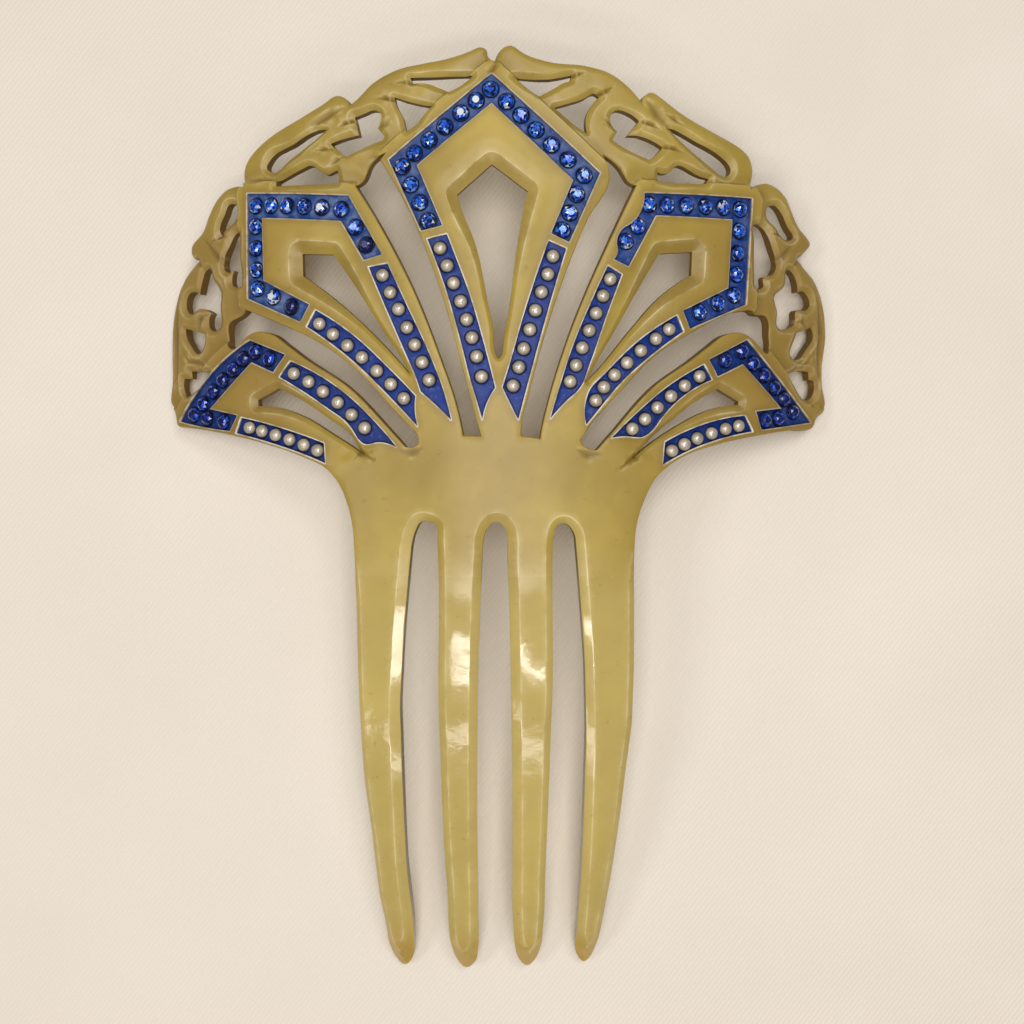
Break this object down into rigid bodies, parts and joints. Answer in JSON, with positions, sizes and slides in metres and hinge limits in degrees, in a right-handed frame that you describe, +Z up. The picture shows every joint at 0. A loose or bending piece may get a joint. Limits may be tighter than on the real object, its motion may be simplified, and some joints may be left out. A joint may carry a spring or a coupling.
{
  "type": "mantilla comb",
  "caption": "Bent openwork hair comb with a fan of scrolled petals, lacquer channels set with glass stones and half pearls, and long tapering teeth.",
  "frame": {"origin": "bottom centre of the bounding box, on the table that the comb lies on with its rounded face up", "axes": "+Y runs from the tips of the teeth to the top of the fan, +X runs across the comb to the right as it is looked at from above, +Z points up out of the rounded face"},
  "size_m": [0.1429, 0.192, 0.0279],
  "materials": {
    "horn": "polished imitation horn, satin on the fan and glossy on the teeth",
    "lacquer": "glossy cobalt lacquer, slightly worn",
    "stone": "cut and foiled blue glass",
    "pearl": "warm off-white pearl lustre"
  },
  "bodies": {
    "root": {"body": "horn", "lacquer_centre_band": "lacquer", "lacquer_centre_left": "lacquer", "lacquer_centre_right": "lacquer", "lacquer_left_band": "lacquer", "lacquer_left_upper": "lacquer", "lacquer_left_lower": "lacquer", "lacquer_right_band": "lacquer", "lacquer_right_upper": "lacquer", "lacquer_right_lower": "lacquer", "lacquer_left_wing_band": "lacquer", "lacquer_left_wing_upper": "lacquer", "lacquer_left_wing_lower": "lacquer", "lacquer_right_wing_band": "lacquer", "lacquer_right_wing_upper": "lacquer", "lacquer_right_wing_lower": "lacquer", "stones_centre": "stone", "stones_left": "stone", "stones_right": "stone", "stones_left_wing": "stone", "stones_right_wing": "stone", "pearls_centre_left": "pearl", "pearls_centre_right": "pearl", "pearls_left_upper": "pearl", "pearls_left_lower": "pearl", "pearls_right_upper": "pearl", "pearls_right_lower": "pearl", "pearls_left_wing_upper": "pearl", "pearls_left_wing_lower": "pearl", "pearls_right_wing_upper": "pearl", "pearls_right_wing_lower": "pearl"}
  },
  "joints": []
}
